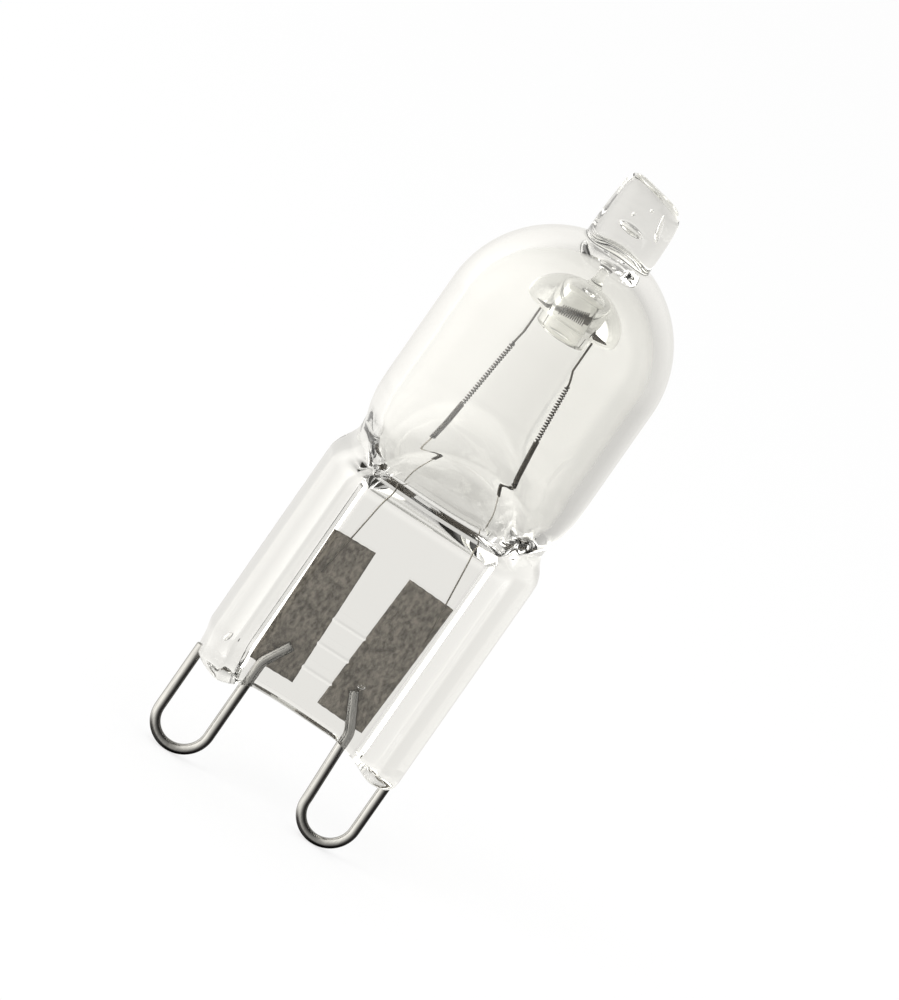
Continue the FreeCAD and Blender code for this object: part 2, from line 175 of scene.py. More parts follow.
def finish_piece(bm, name, material, cad_node):
    """Makes the mesh an object in metres, which rides on the bulb and stands for the CAD node."""
    bmesh.ops.scale(bm, vec=(MM, MM, MM), verts=bm.verts[:])
    mesh = bpy.data.meshes.new(name)
    bm.to_mesh(mesh)
    bm.free()
    mesh.materials.append(material)
    mesh.shade_smooth()
    piece = bpy.data.objects.new(name, mesh)
    bpy.context.scene.collection.objects.link(piece)
    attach(piece, "root")
    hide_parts(cad_node)


# Height, half width, half depth and squareness of the outer skin, from the rails to the round wall
OUTER_ROWS = [
    (5.00, 6.65, 2.10, 6.0),
    (18.30, 6.65, 2.10, 6.0),
    (18.90, 6.64, 2.14, 5.6),
    (19.50, 6.46, 2.52, 4.6),
    (20.05, 6.12, 3.05, 3.9),
    (20.60, 5.94, 3.65, 3.2),
    (21.30, 6.02, 4.45, 2.7),
    (22.20, 6.30, 5.40, 2.3),
    (23.20, 6.47, 6.15, 2.08),
    (24.30, 6.50, 6.48, 2.0),
    (25.00, 6.50, 6.50, 2.0),
    (30.30, 6.50, 6.50, 2.0),
]
DOME_CENTRE = 30.3
DOME_STEPS = 30
# Distance from the axis at which the dome's rings give way to the tip's
DOME_END = 2.25
# Height, half width, half depth and squareness of the tip, from its foot on the dome to its closed top
TIP_ROWS = [
    (36.20, 2.06, 1.76, 2.5),
    (36.32, 2.00, 1.68, 2.8),
    (36.90, 1.97, 1.60, 3.4),
    (37.60, 1.96, 1.50, 4.0),
    (39.20, 1.90, 1.24, 4.4),
    (40.00, 1.86, 1.07, 4.2),
    (40.30, 1.80, 0.99, 4.0),
    (40.50, 1.71, 0.90, 3.8),
    (40.65, 1.58, 0.78, 3.6),
    (40.76, 1.40, 0.62, 3.3),
    (40.83, 1.15, 0.42, 3.0),
]
# Below this height the tip's rings run together with the dome
TIP_FOOT = 36.9
# The tip's rings are even up to a height, then closer round its top, and its cap rises a little
TIP_STEP = 0.1
TIP_EVEN_TOP = 40.3
TIP_TOP_RINGS = [40.38, 40.45, 40.51, 40.57, 40.62, 40.67, 40.71, 40.75, 40.78, 40.81, 40.83]
TIP_CAP = 0.02
# The top slopes down to the right: how steeply, from which place across and over which heights
TIP_SLOPE = 0.2
TIP_SLOPE_X = -1.75
TIP_SLOPE_SPAN = (38.6, 40.7)
# Lower edge of the seal: place across, height
BOTTOM_ROWS = [
    (-6.65, 5.60), (-6.10, 5.28), (-5.20, 5.06), (-4.40, 5.14), (-3.60, 5.40), (-2.90, 5.63),
    (-1.00, 5.70), (2.40, 5.64), (3.20, 5.46), (4.10, 5.20), (4.90, 4.92), (5.60, 4.80),
    (6.20, 4.88), (6.65, 5.20),
]
# Half width of the seal near its foot, left and right: height, share
LEFT_ROWS = [(5.00, 0.915), (5.60, 0.955), (6.60, 0.975), (7.40, 1.0), (9.0, 1.0)]
RIGHT_ROWS = [(4.80, 0.965), (5.20, 0.99), (5.80, 1.0), (9.0, 1.0)]
# First ring of the seal, and the height above which its rings no longer follow the lower edge
SEAL_START = 5.7
SEAL_BLEND = 9.0
# Rounding of the lower edge at the web, what the rails have more, and the rings that turn it
WEB_ROUND = 0.1
RAIL_ROUND = 0.18
FOOT_TURN = (0.0, 0.06, 0.18, 0.36, 0.6, 0.82)
# Where the web meets the rails, across, and where its face starts to lean out to the neck
WEB_EDGE = (3.7, 5.6)
WEB_TOP = 17.9
WEB_BEND = 0.8
# Heights and middle of the ribs, their rise, and the fades at their ends and flanks
RIBS = (8.2, 9.75, 11.3)
RIB_X = -0.3
RIB_RISE = 0.08
RIB_ENDS = (0.9, 1.02)
RIB_FLANKS = (0.03, 0.12)
# Distances from ring to ring: near a rib, in the neck, at the foot, elsewhere on the seal, on the wall
RIB_STEP = 0.045
NECK_STEP = 0.12
FOOT_STEP = 0.2
SEAL_STEP = 0.3
WALL_STEP = 0.5
# How near counts as near a rib, and the heights where the foot ends and the neck starts and ends
RIB_REACH = 0.2
FOOT_END = 7.2
NECK_START = 17.2
NECK_END = 24.6


def outer_rings():
    """Heights of the outer skin's rings up to the dome's middle."""
    rings = [SEAL_START]
    while rings[-1] < NECK_END:
        last = rings[-1]
        if any(abs(last + 0.02 - rib) < RIB_REACH for rib in RIBS):
            step = RIB_STEP
        elif last > NECK_START:
            step = NECK_STEP
        else:
            step = FOOT_STEP if last < FOOT_END else SEAL_STEP
        ahead = [rib - RIB_REACH for rib in RIBS if last < rib - RIB_REACH < last + step]
        rings.append(ahead[0] + 0.001 if ahead else last + step)
    while rings[-1] < DOME_CENTRE - WALL_STEP:
        rings.append(rings[-1] + WALL_STEP)
    return rings


def build_outer_skin(bm, sizes):
    """The glass seen from outside: seal with web, rails and ribs, neck, wall, dome and tip."""
    web = sizes.web_half_depth / MM
    radius = sizes.dome_radius / MM
    heights = outer_rings()
    tip_start = TIP_ROWS[0][0]
    last_angle = math.acos(DOME_END / radius)
    tip_heights = [tip_start + TIP_STEP * i for i in range(int((TIP_EVEN_TOP - tip_start) / TIP_STEP) + 1)]
    tip_heights += TIP_TOP_RINGS
    ring_count = len(FOOT_TURN) + len(heights) + DOME_STEPS + 1 + len(tip_heights) + 1

    def web_rise(height):
        above = height - WEB_TOP
        if above <= 0:
            return 0.0
        return above * above / (2 * WEB_BEND) if above < WEB_BEND else above - WEB_BEND / 2

    def seal_place(angle, height, turn=1.0):
        width, depth, squareness = through(OUTER_ROWS, height)
        x, y = section(angle, width, depth, squareness)
        rail = fade(*WEB_EDGE, abs(x))
        z = height
        if height < SEAL_BLEND:
            low = through(BOTTOM_ROWS, x)[0]
            roll = WEB_ROUND + RAIL_ROUND * rail
            share = (SEAL_BLEND - height) / (SEAL_BLEND - SEAL_START)
            z = height + (low + roll - SEAL_START) * share - roll * (1 - turn)
        x *= through(LEFT_ROWS if x < 0 else RIGHT_ROWS, z)[0]
        limit = web + web_rise(height)
        limit += (depth - limit) * rail
        y = math.copysign(min(abs(y), limit), y)
        if y < 0:
            along = 1 - fade(*RIB_ENDS, abs(x - RIB_X))
            for rib in RIBS:
                y -= RIB_RISE * along * (1 - fade(*RIB_FLANKS, abs(z - rib)))
        return Vector((x, y * math.sqrt(1 - (1 - turn) ** 2), z))

    def place(angle, ring):
        if ring < len(FOOT_TURN):
            return seal_place(angle, heights[0], FOOT_TURN[ring])
        ring -= len(FOOT_TURN)
        if ring < len(heights):
            return seal_place(angle, heights[ring])
        ring -= len(heights)
        if ring <= DOME_STEPS:
            slope = last_angle * ring / DOME_STEPS
            x, y = section(angle, radius * math.cos(slope), radius * math.cos(slope), 2.0)
            return Vector((x, y, DOME_CENTRE + radius * math.sin(slope)))
        ring -= DOME_STEPS + 1
        height = tip_heights[min(ring, len(tip_heights) - 1)]
        width, depth, squareness = through(TIP_ROWS, height)
        x, y = section(angle, width, depth, squareness)
        if height < TIP_FOOT:
            on_dome = DOME_CENTRE + math.sqrt(radius ** 2 - x ** 2 - y ** 2)
            height = on_dome + (TIP_FOOT - on_dome) * (height - tip_start) / (TIP_FOOT - tip_start)
        z = height - TIP_SLOPE * (x - TIP_SLOPE_X) * fade(*TIP_SLOPE_SPAN, height)
        if ring >= len(tip_heights):
            return Vector((x, 0.0, z + TIP_CAP))
        return Vector((x, y, z))

    ringed_shell(bm, ring_count, place)


# Height, half width, half depth and squareness of the hollow, from its floor to the round wall
HOLLOW_ROWS = [
    (19.45, 4.10, 0.05, 2.8),
    (19.52, 4.30, 0.30, 3.0),
    (19.65, 4.44, 0.70, 3.2),
    (19.85, 4.55, 1.10, 3.4),
    (20.10, 4.64, 1.50, 3.5),
    (20.47, 4.76, 1.98, 3.5),
    (21.07, 4.95, 2.67, 3.2),
    (21.70, 5.12, 3.39, 2.8),
    (22.48, 5.36, 4.23, 2.42),
    (23.30, 5.47, 5.00, 2.13),
    (24.04, 5.50, 5.37, 2.02),
    (24.65, 5.50, 5.49, 2.0),
    (25.20, 5.50, 5.50, 2.0),
    (31.25, 5.50, 5.50, 2.0),
]
# Heights of its lowest rings, its lowest edge below them, and where its neck's and its wall's rings end
FLOOR_RINGS = [19.45, 19.47, 19.50, 19.55, 19.62, 19.70, 19.80, 19.92]
FLOOR_LIP = 0.03
HOLLOW_NECK_END = 24.9
HOLLOW_WALL_END = 29.6
# The floor curves up towards its ends, by so much at this distance from the axis, and less higher up
FLOOR_SAG = 0.22
FLOOR_SAG_X = 4.4
FLOOR_SAG_SPAN = (19.9, 22.0)
# Ceiling under the dome: height of its foot and its rise
CROWN_FOOT = 30.3
CROWN_RISE = 5.3
# Thin stem from the ceiling to the bead: radius at its ends and how much its middle is drawn in
STEM_RADIUS = 0.62
STEM_WAIST = 0.34
# Bead of glass that ran together round the exhaust tube
BEAD_MIDDLE = 32.35
BEAD_RADIUS = 2.8
BEAD_RISE = 2.0
BEAD_EDGE = 0.14
BEAD_CUP = 0.12
# Stub of the exhaust tube under the bead, its melted rim and its bore
TUBE_RADIUS = 1.56
TUBE_END = 31.0
TUBE_FILLET = 0.2
RIM_RADIUS = 0.26
RIM_RISE = 0.28
BORE_RADIUS = 1.15
BORE_TOP = 33.6
BORE_ROUND = 0.4


def arc_points(centre, radii, first, last, count):
    """Points of an elliptic arc in a profile, without its first one; angles in degrees."""
    points = []
    for step in range(1, count + 1):
        angle = math.radians(first + (last - first) * step / count)
        points.append((centre[0] + radii[0] * math.cos(angle), centre[1] + radii[1] * math.sin(angle)))
    return points


def run_points(start, end, count):
    """Points of a straight run in a profile, without its first one."""
    return [(start[0] + (end[0] - start[0]) * step / count, start[1] + (end[1] - start[1]) * step / count)
            for step in range(1, count + 1)]


def hollow_profile(sizes):
    """Radius and height of the round part of the hollow: ceiling, stem, bead, stub, rim and bore."""
    wall_radius = sizes.dome_radius / MM - sizes.wall / MM
    outline = [(wall_radius, CROWN_FOOT)]
    last = math.degrees(math.acos(STEM_RADIUS / wall_radius))
    outline += arc_points((0, CROWN_FOOT), (wall_radius, CROWN_RISE), 0, last, 40)
    top = outline[-1][1]
    first = math.degrees(math.acos(STEM_RADIUS / BEAD_RADIUS))
    foot = BEAD_MIDDLE + BEAD_RISE * math.sin(math.radians(first))
    gap = (top - foot) / 2
    outline += arc_points((STEM_RADIUS, top - gap), (STEM_WAIST, gap), 90, 270, 12)
    outline += arc_points((0, BEAD_MIDDLE), (BEAD_RADIUS, BEAD_RISE), first, -5, 24)
    edge, low = outline[-1]
    outline += arc_points((edge - BEAD_EDGE, low), (BEAD_EDGE, BEAD_EDGE), 0, -95, 6)
    edge, low = outline[-1]
    fillet = TUBE_RADIUS + TUBE_FILLET
    outline += run_points((edge, low), (fillet, low + BEAD_CUP), 4)
    low += BEAD_CUP
    outline += arc_points((fillet, low - TUBE_FILLET), (TUBE_FILLET, TUBE_FILLET), 90, 180, 6)
    rim = TUBE_END + RIM_RISE
    outline.append((TUBE_RADIUS, rim))
    outline += arc_points((TUBE_RADIUS - RIM_RADIUS, rim), (RIM_RADIUS, RIM_RISE), 0, -180, 12)
    bore_end = BORE_TOP - BORE_ROUND
    outline += run_points((TUBE_RADIUS - 2 * RIM_RADIUS, rim), (BORE_RADIUS, bore_end), 8)
    outline += arc_points((0, bore_end), (BORE_RADIUS, BORE_ROUND), 0, 86, 16)
    return outline


def build_hollow(bm, sizes):
    """The glass seen from inside: floor, neck, wall, ceiling and the stub with its bore."""
    heights = list(FLOOR_RINGS)
    while heights[-1] < HOLLOW_NECK_END:
        heights.append(heights[-1] + NECK_STEP)
    while heights[-1] < HOLLOW_WALL_END:
        heights.append(heights[-1] + WALL_STEP)
    outline = hollow_profile(sizes)
    ring_count = 1 + len(heights) + len(outline) + 1

    def sag(x, height):
        return FLOOR_SAG * (x / FLOOR_SAG_X) ** 2 * (1 - fade(*FLOOR_SAG_SPAN, height))

    def place(angle, ring):
        if ring == 0:
            width, depth, squareness = through(HOLLOW_ROWS, heights[0])
            x, y = section(angle, width, depth, squareness)
            return Vector((x, 0.0, heights[0] - FLOOR_LIP + sag(x, heights[0])))
        ring -= 1
        if ring < len(heights):
            width, depth, squareness = through(HOLLOW_ROWS, heights[ring])
            x, y = section(angle, width, depth, squareness)
            return Vector((x, y, heights[ring] + sag(x, heights[ring])))
        ring -= len(heights)
        radius, height = outline[min(ring, len(outline) - 1)]
        x, y = section(angle, radius, radius, 2.0)
        if ring >= len(outline):
            y = 0.0
        return Vector((x, y, height))

    ringed_shell(bm, ring_count, place)


def build_bubble(bm, centre, half_sizes, lean):
    """A small closed void left in the glass."""
    placed = Matrix.Translation(Vector(centre)) @ Matrix.Rotation(lean, 4, "Y")
    shape = Matrix.Diagonal((*half_sizes, 1.0))
    made = bmesh.ops.create_icosphere(bm, subdivisions=3, radius=1.0, matrix=shape)
    bmesh.ops.transform(bm, matrix=placed, verts=made["verts"])


# Centre, half sizes and lean in degrees of the voids and bubbles: four in the tip, two in the seal
VOIDS = [
    ((-0.15, 0.0, 37.95), (0.78, 0.50, 0.30), 4),
    ((1.05, 0.1, 38.75), (0.16, 0.30, 0.75), -16),
    ((-0.55, -0.2, 38.75), (0.10, 0.12, 0.16), 20),
    ((0.2, 0.2, 39.3), (0.12, 0.10, 0.10), 0),
    ((-5.45, -0.4, 7.35), (0.13, 0.16, 0.34), 14),
    ((2.05, -0.35, 8.9), (0.22, 0.10, 0.12), -20),
]
# Points nearer than this are merged, and edges shorter than a sliver are closed
MERGE_DISTANCE = 0.0005
SLIVER = 0.0002


class CAPSULE_OT_envelope(Operator):
    """Builds the quartz bulb: outer skin, hollow with the stub, ribs and voids"""

    bl_idname = "capsule.envelope"
    bl_label = "Quartz envelope"

    def execute(self, context):
        sizes = context.scene.capsule_glass
        skins = []
        for build in (build_outer_skin, build_hollow):
            bm = bmesh.new()
            build(bm, sizes)
            bmesh.ops.remove_doubles(bm, verts=bm.verts[:], dist=MERGE_DISTANCE)
            bmesh.ops.dissolve_degenerate(bm, edges=bm.edges[:], dist=SLIVER)
            if bm.calc_volume(signed=True) < 0:
                bmesh.ops.reverse_faces(bm, faces=bm.faces[:])
            skins.append(bm)
        whole, hollow = skins
        for centre, half_sizes, lean in VOIDS:
            build_bubble(hollow, centre, half_sizes, math.radians(lean))
        bmesh.ops.reverse_faces(hollow, faces=hollow.faces[:])
        inner = bpy.data.meshes.new("inner")
        hollow.to_mesh(inner)
        hollow.free()
        whole.from_mesh(inner)
        bpy.data.meshes.remove(inner)
        finish_piece(whole, "quartz_envelope", quartz_glass(), "envelope")
        return {"FINISHED"}


# Degrees of a bend that one straight piece takes, and the turn in radians that counts as none
BEND_CHORD = 8.0
STRAIGHT = 1e-3
# Points to a turn of a coil, and points round its strand
COIL_STEPS = 12
STRAND_SIDES = 6


def build_wire(bm, path, radius, sides):
    """A round wire along a path: a circle carried from place to place, square to the run."""
    rings = []
    for index, place in enumerate(path):
        before = path[max(index - 1, 0)]
        after = path[min(index + 1, len(path) - 1)]
        rings.append((place, (after - before).normalized()))
    turn = rings[0][1].to_track_quat("Z", "Y")
    verts = bmesh.ops.create_circle(
        bm, cap_ends=False, segments=sides, radius=radius,
        matrix=Matrix.Translation(rings[0][0]) @ turn.to_matrix().to_4x4())["verts"]
    edges = list({edge for vert in verts for edge in vert.link_edges})
    bmesh.ops.contextual_create(bm, geom=edges)
    for (here, along), (place, onward) in zip(rings, rings[1:]):
        grown = bmesh.ops.extrude_edge_only(bm, edges=edges)["geom"]
        verts = [item for item in grown if isinstance(item, bmesh.types.BMVert)]
        edges = [item for item in grown if isinstance(item, bmesh.types.BMEdge) and item.is_boundary]
        swing = along.rotation_difference(onward).to_matrix().to_4x4()
        move = Matrix.Translation(place) @ swing @ Matrix.Translation(-here)
        bmesh.ops.transform(bm, matrix=move, verts=verts)
    bmesh.ops.contextual_create(bm, geom=edges)


def rounded_path(corners, bend):
    """The corners of a wire's route with each one rounded to the bend's radius."""
    path = [corners[0]]
    for before, corner, after in zip(corners, corners[1:], corners[2:]):
        inward = (corner - before).normalized()
        outward = (after - corner).normalized()
        turn = inward.angle(outward)
        if turn < STRAIGHT:
            continue
        setback = bend * math.tan(turn / 2)
        first = corner - inward * setback
        axis = inward.cross(outward).normalized()
        centre = first + axis.cross(inward) * bend
        chords = max(2, math.ceil(math.degrees(turn) / BEND_CHORD))
        for index in range(chords + 1):
            path.append(centre + Quaternion(axis, turn * index / chords) @ (first - centre))
    path.append(corners[-1])
    return path


def build_helix(bm, a, b, outer_radius, strand_radius, pitch):
    """A coil of round strand from a to b: a circle screwed about the coil's axis."""
    length = (b - a).length
    turns = length / pitch
    radius = outer_radius - strand_radius
    count = round(turns * COIL_STEPS)
    slope = math.atan2(pitch, 2 * math.pi * radius)
    start = Matrix.Translation((radius, 0, 0)) @ Matrix.Rotation(math.pi / 2 + slope, 4, "X")
    verts = bmesh.ops.create_circle(
        bm, cap_ends=False, segments=STRAND_SIDES, radius=strand_radius, matrix=start)["verts"]
    edges = list({edge for vert in verts for edge in vert.link_edges})
    bmesh.ops.contextual_create(bm, geom=edges)
    made = bmesh.ops.spin(
        bm, geom=verts + edges, cent=(0, 0, 0), axis=(0, 0, 1), dvec=(0, 0, length / count),
        angle=2 * math.pi * turns, steps=count, use_merge=False, use_duplicate=False)
    last = [item for item in made["geom_last"] if isinstance(item, bmesh.types.BMEdge)]
    bmesh.ops.contextual_create(bm, geom=last)
    # The coil is all that hangs together with its first ring
    coil = set(verts)
    reach = list(verts)
    while reach:
        vert = reach.pop()
        for edge in vert.link_edges:
            other = edge.other_vert(vert)
            if other not in coil:
                coil.add(other)
                reach.append(other)
    turn = (b - a).to_track_quat("Z", "Y").to_matrix().to_4x4()
    bmesh.ops.transform(bm, matrix=Matrix.Translation(a) @ turn, verts=list(coil))


def spot(x, z, y=0.0):
    return Vector((x, y, z))


# Each leg of the filament: top of its coil, where the coil gives way to the tail, and the tail's end
LEGS = {
    "left": (spot(-1.82, 29.25), spot(-2.2, 25.0), spot(-2.44, 22.35)),
    "right": (spot(1.97, 28.9), spot(2.3, 25.45), spot(2.66, 22.4)),
}
COIL_STRAND = 0.042
# The tail is wound closer and a little thicker, over a core
TAIL_EXTRA = 0.02
TAIL_STRAND = 0.05
TAIL_PITCH = 0.104
CORE_RADIUS = 0.09
CORE_INSET = 0.02
CORE_REACH = 0.1
# Straight wire from the top of each coil up into the stub, and its corners there
SHOULDER_RADIUS = 0.06
SHOULDER_GRIP = 0.12
SHOULDER_RISE = 0.15
SHOULDER_BEND = 0.16
SHOULDER_X = 1.70
SHOULDER_LIFT = 0.85
# Coil that lies across the bore of the stub
SADDLE_Z = 32.1
SADDLE_HALF = 0.8
SADDLE_RADIUS = 0.11
SADDLE_STRAND = 0.04
SADDLE_PITCH = 0.13


class CAPSULE_OT_filament(Operator):
    """Winds the coiled filament, its thin shoulders, its saddle coil and its close-wound tails"""

    bl_idname = "capsule.filament"
    bl_label = "Coiled filament"

    def execute(self, context):
        sizes = context.scene.capsule_wires
        outer = sizes.coil_radius / MM
        pitch = sizes.coil_pitch / MM
        bm = bmesh.new()
        for side, (top, low, end) in LEGS.items():
            sign = -1 if side == "left" else 1
            down = (low - top).normalized()
            build_helix(bm, low, top, outer, COIL_STRAND, pitch)
            build_helix(bm, end, low, outer + TAIL_EXTRA, TAIL_STRAND, TAIL_PITCH)
            build_wire(bm, [end - down * CORE_INSET, low + down * CORE_REACH], CORE_RADIUS, 12)
            path = rounded_path([
                top + down * SHOULDER_GRIP, top - down * SHOULDER_RISE,
                spot(sign * SHOULDER_X, top.z + SHOULDER_LIFT),
                spot(sign * (SHOULDER_X - 0.01), SADDLE_Z - 0.02),
                spot(sign * (SADDLE_HALF - 0.05), SADDLE_Z)], SHOULDER_BEND)
            build_wire(bm, path, SHOULDER_RADIUS, 10)
        build_helix(bm, spot(-SADDLE_HALF, SADDLE_Z), spot(SADDLE_HALF, SADDLE_Z),
                    SADDLE_RADIUS, SADDLE_STRAND, SADDLE_PITCH)
        finish_piece(bm, "coiled_filament", drawn_tungsten(), "filament")
        return {"FINISHED"}


# Each contact pin: its loop's middle, the side of its outer leg, that leg's end, and the inner leg's
# way to the weld
PINS = {
    "left": (-4.75, -1, 6.0, [spot(-3.175, 7.05), spot(-2.31, 8.7)]),
    "right": (4.75, 1, 4.95, [spot(3.175, 2.075), spot(2.98, 6.35), spot(1.85, 8.5)]),
}
PIN_LOOP = 1.575
PIN_LOOP_STEPS = 36
PIN_BEND = 1.1
PIN_SIDES = 32
# How far above the loop its outer leg runs straight, and how far the cut ends are rounded
PIN_RUN = 0.4
PIN_END_ROUND = 0.09


class CAPSULE_OT_contact_pins(Operator):
    """Bends the two contact wires into their loops"""

    bl_idname = "capsule.contact_pins"
    bl_label = "Contact pins"

    def execute(self, context):
        radius = context.scene.capsule_wires.pin_radius / MM
        low = radius + PIN_LOOP
        for side, (middle, sign, end, way) in PINS.items():
            bm = bmesh.new()
            outer = middle + sign * PIN_LOOP
            path = [spot(outer, end), spot(outer, low + PIN_RUN)]
            for step in range(PIN_LOOP_STEPS + 1):
                angle = math.radians(180 * step / PIN_LOOP_STEPS)
                path.append(spot(middle + sign * PIN_LOOP * math.cos(angle),
                                 low - PIN_LOOP * math.sin(angle)))
            path += rounded_path([path[-1]] + way, PIN_BEND)[1:]
            build_wire(bm, path, radius, PIN_SIDES)
            caps = [face for face in bm.faces if len(face.verts) > 4]
            rims = list({edge for face in caps for edge in face.edges})
            bmesh.ops.bevel(bm, geom=rims, offset=PIN_END_ROUND, offset_type="OFFSET", segments=3,
                            profile=0.5, affect="EDGES", clamp_overlap=True, material=-1)
            finish_piece(bm, f"contact_wire_{side}", bright_nickel(), f"contact_pin_{side}")
        return {"FINISHED"}


# Each foil: side, middle across, middle height and tilt in degrees
FOILS = (("left", -2.75, 11.15, -2.0), ("right", 2.24, 10.95, 2.0))
FOIL_Y = 0.325
FOIL_HALF_WIDTH = 1.475
FOIL_HALF_LENGTH = 4.25
FOIL_THICKNESS = 0.03
# Heights of its waves, and how uneven its long edges and its ends are, over the outermost part
FOIL_WAVE = 0.008
FOIL_EDGE = (0.004, 1.25)
FOIL_END = (0.01, 4.05)


class CAPSULE_OT_foils(Operator):
    """Rolls the two thin foils with their uneven edges and slight waves"""

    bl_idname = "capsule.foils"
    bl_label = "Sealing foils"

    def execute(self, context):
        for side, x, z, tilt in FOILS:
            bm = bmesh.new()
            placed = (Matrix.Translation((x, FOIL_Y, z)) @ Matrix.Rotation(math.radians(tilt), 4, "Y")
                      @ Matrix.Rotation(math.pi / 2, 4, "X")
                      @ Matrix.Diagonal((FOIL_HALF_WIDTH, FOIL_HALF_LENGTH, 1.0, 1.0)))
            bmesh.ops.create_grid(bm, x_segments=30, y_segments=84, size=1.0)
            bmesh.ops.transform(bm, matrix=placed, verts=bm.verts[:])
            for vert in bm.verts:
                local_x, local_z = vert.co.x - x, vert.co.z - z
                # Two slanting waves, a few millimetres long
                wave = math.sin(local_x * 2.1 + local_z * 0.9) + 0.6 * math.sin(local_x * 4.3 - local_z * 2.2)
                vert.co.y += FOIL_WAVE * wave
                edge = fade(FOIL_EDGE[1], FOIL_HALF_WIDTH, abs(local_x)) * FOIL_EDGE[0]
                vert.co.x += edge * math.sin(local_z * 9.0 + x)
                end = fade(FOIL_END[1], FOIL_HALF_LENGTH, abs(local_z)) * FOIL_END[0]
                vert.co.z += end * math.sin(local_x * 11.0)
            bmesh.ops.recalc_face_normals(bm, faces=bm.faces[:])
            bmesh.ops.solidify(bm, geom=bm.faces[:], thickness=FOIL_THICKNESS)
            finish_piece(bm, f"sealing_foil_{side}", rolled_molybdenum(), f"foil_{side}")
        return {"FINISHED"}


# The way of each thin lead below the filament's tail: through the floor of the hollow to the foil
LEAD_WAYS = {
    "left": [spot(-2.56, 19.25, 0.25), spot(-3.27, 12.97, 0.25)],
    "right": [spot(2.86, 19.05, 0.25), spot(3.6, 12.7, 0.25)],
}
LEAD_RADIUS = 0.045
LEAD_BEND = 1.4
# How far it reaches up into the tail, and how far it runs on in line with it
LEAD_GRIP = 0.8
LEAD_RUN = 1.6


class CAPSULE_OT_leads(Operator):
    """Draws the two thin leads from the filament's tails to the foils"""

    bl_idname = "capsule.leads"
    bl_label = "Inner leads"

    def execute(self, context):
        for side, way in LEAD_WAYS.items():
            low, end = LEGS[side][1:]
            along = (low - end).normalized()
            bm = bmesh.new()
            path = rounded_path([end + along * LEAD_GRIP, end - along * LEAD_RUN] + way, LEAD_BEND)
            build_wire(bm, path, LEAD_RADIUS, 12)
            finish_piece(bm, f"inner_wire_{side}", drawn_molybdenum(),
                         f"inner_lead_{side}")
        return {"FINISHED"}


# Materials

def linear(hex_colour):
    """An sRGB hex value as the linear colour that the shaders take."""
    values = []
    for start in (0, 2, 4):
        value = int(hex_colour[start:start + 2], 16) / 255
        values.append(value / 12.92 if value <= 0.04045 else ((value + 0.055) / 1.055) ** 2.4)
    return (*values, 1.0)


def node(tree, kind, settings=None, links=None):
    """Adds a node, with its settings by attribute or socket name, and its inputs linked."""
    made = tree.nodes.new(kind)
    for key, value in (settings or {}).items():
        if isinstance(key, str) and hasattr(made, key):
            setattr(made, key, value)
        else:
            made.inputs[key].default_value = value
    for key, source in (links or {}).items():
        tree.links.new(source, made.inputs[key])
    return made


def new_material(name):
    """An empty material, its tree and its output."""
    material = bpy.data.materials.get(name)
    if material:
        return material, None, None
    material = bpy.data.materials.new(name)
    material.use_nodes = True
    tree = material.node_tree
    tree.nodes.clear()
    return material, tree, tree.nodes.new("ShaderNodeOutputMaterial")


# Faces that light may meet before the quartz lets it out
LONGEST_RUN = 5.5


def quartz_glass():
    """Fused quartz, melted and pressed: clear and colourless, with an index of 1.458 and a faint ripple."""
    material, tree, output = new_material("Fused quartz, fire-polished")
    if tree is None:
        return material
    place = node(tree, "ShaderNodeTexCoord").outputs["Object"]
    # Ripples a few millimetres long, left where the glass was heated
    ripple = node(tree, "ShaderNodeTexNoise", {"Scale": 420.0, "Detail": 1.0}, {"Vector": place})
    bump = node(tree, "ShaderNodeBump", {"Strength": 0.05, "Distance": 0.0002},
                {"Height": ripple.outputs["Fac"]})
    glass = node(tree, "ShaderNodeBsdfPrincipled", {
        "Base Color": linear("FAFAF8"), "Roughness": 0.0, "IOR": 1.458, "Transmission Weight": 1.0},
        {"Normal": bump.outputs["Normal"]})
    # Light for the floor and the wires goes straight through, so that the glass casts only a faint shadow
    clear = node(tree, "ShaderNodeBsdfTransparent", {"Color": linear("F4F4F2")})
    ray = node(tree, "ShaderNodeLightPath")
    straight = node(tree, "ShaderNodeMath", {"operation": "MAXIMUM"},
                    {0: ray.outputs["Is Shadow Ray"], 1: ray.outputs["Is Diffuse Ray"]})
    # Light that has run to and fro in the wall for long is let out
    long_run = node(tree, "ShaderNodeMath", {"operation": "GREATER_THAN", 1: LONGEST_RUN},
                    {0: ray.outputs["Ray Depth"]})
    let_out = node(tree, "ShaderNodeMath", {"operation": "MAXIMUM"},
                   {0: straight.outputs[0], 1: long_run.outputs[0]})
    mixed = node(tree, "ShaderNodeMixShader", {}, {
        0: let_out.outputs[0], 1: glass.outputs[0], 2: clear.outputs[0]})
    tree.links.new(mixed.outputs[0], output.inputs["Surface"])
    return material


